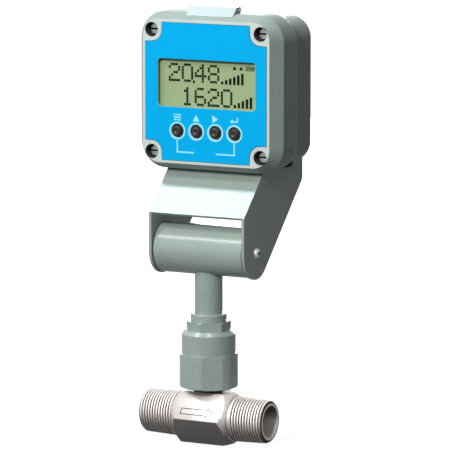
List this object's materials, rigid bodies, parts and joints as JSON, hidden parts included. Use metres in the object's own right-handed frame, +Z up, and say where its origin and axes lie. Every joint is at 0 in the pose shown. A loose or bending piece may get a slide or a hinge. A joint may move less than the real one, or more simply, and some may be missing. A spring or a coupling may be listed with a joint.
{
  "type": "flow monitor",
  "caption": "Inline turbine flow monitor: hexagonal threaded meter body, swivelling riser, tilting sheet bracket and display box with keys.",
  "frame": {"origin": "where the stem's axis crosses the axis of the meter body's bore, halfway between the pipe ends", "axes": "+X along the pipe in the flow direction, -Y towards the reader of the display, +Z up the riser"},
  "size_m": [0.1174, 0.0958, 0.3207],
  "materials": {
    "body_steel": "satin",
    "turbine_steel": "satin",
    "screw_steel": "satin",
    "riser_paint": "satin",
    "bracket_paint": "satin",
    "box_paint": "satin",
    "seal_rubber": "matte",
    "washer_plastic": "matte",
    "insert_brass": "satin",
    "label_film": "satin",
    "window_clear": "gloss",
    "display_glass": "satin",
    "board_green": "satin",
    "key_rubber": "matte",
    "switch_plastic": "matte",
    "cell_wrap": "satin",
    "terminal_plastic": "matte",
    "gland_plastic": "matte"
  },
  "bodies": {
    "meter": {"meter_body": "body_steel", "inlet_vanes": "turbine_steel", "outlet_vanes": "turbine_steel", "retaining_rings": "turbine_steel", "rotor_shaft": "turbine_steel", "port_seal": "seal_rubber", "coupling": "riser_paint", "magnetic_pickup": "turbine_steel", "pickup_nut": "insert_brass", "swivel_nut": "riser_paint"},
    "rotor": {"rotor": "turbine_steel", "rotor_bushes": "insert_brass"},
    "swivel": {"stem": "riser_paint", "stem_packing": "seal_rubber", "stem_collar": "riser_paint", "pivot_drum": "riser_paint", "drum_plugs": "turbine_steel", "drum_grommet": "seal_rubber", "friction_washers": "washer_plastic", "pivot_screws": "screw_steel"},
    "monitor": {"bracket_web": "bracket_paint", "bracket_plate_left": "bracket_paint", "bracket_plate_right": "bracket_paint", "bracket_screws": "screw_steel", "enclosure_base": "box_paint", "lid_gasket": "seal_rubber", "lid_inserts": "insert_brass", "enclosure_lid": "box_paint", "lid_screws": "screw_steel", "face_label": "label_film", "window_lens": "window_clear", "lcd_module": "display_glass", "display_board": "board_green", "board_screws": "screw_steel", "key_switches": "switch_plastic", "battery": "cell_wrap", "battery_holder": "switch_plastic", "terminal_block": "terminal_plastic", "cable_gland": "gland_plastic", "gland_locknut": "gland_plastic", "gland_seal": "seal_rubber", "hinge_block": "box_paint", "hinge_lug": "box_paint", "hinge_pin": "screw_steel"},
    "menu_key": {"menu_button": "key_rubber"},
    "up_key": {"up_button": "key_rubber"},
    "right_key": {"right_button": "key_rubber"},
    "enter_key": {"enter_button": "key_rubber"}
  },
  "joints": [
    {"name": "rotor_spin", "type": "hinge", "parent": "meter", "child": "rotor", "pos_m": [0, 0, 0], "axis": [1, 0, 0], "continuous": true},
    {"name": "stem_swivel", "type": "hinge", "parent": "meter", "child": "swivel", "pos_m": [0, 0, 0.0646], "axis": [0, 0, 1], "range_deg": [-175, 175]},
    {"name": "monitor_tilt", "type": "hinge", "parent": "swivel", "child": "monitor", "pos_m": [0, 0, 0.1238], "axis": [1, 0, 0], "range_deg": [-90, 90]},
    {"name": "menu_press", "type": "slide", "parent": "monitor", "child": "menu_key", "axis": [0, 1, 0], "range_m": [0, 0.001], "stiffness_N_per_m": 600, "springref_m": -0.0005},
    {"name": "up_press", "type": "slide", "parent": "monitor", "child": "up_key", "axis": [0, 1, 0], "range_m": [0, 0.001], "stiffness_N_per_m": 600, "springref_m": -0.0005},
    {"name": "right_press", "type": "slide", "parent": "monitor", "child": "right_key", "axis": [0, 1, 0], "range_m": [0, 0.001], "stiffness_N_per_m": 600, "springref_m": -0.0005},
    {"name": "enter_press", "type": "slide", "parent": "monitor", "child": "enter_key", "axis": [0, 1, 0], "range_m": [0, 0.001], "stiffness_N_per_m": 600, "springref_m": -0.0005}
  ]
}
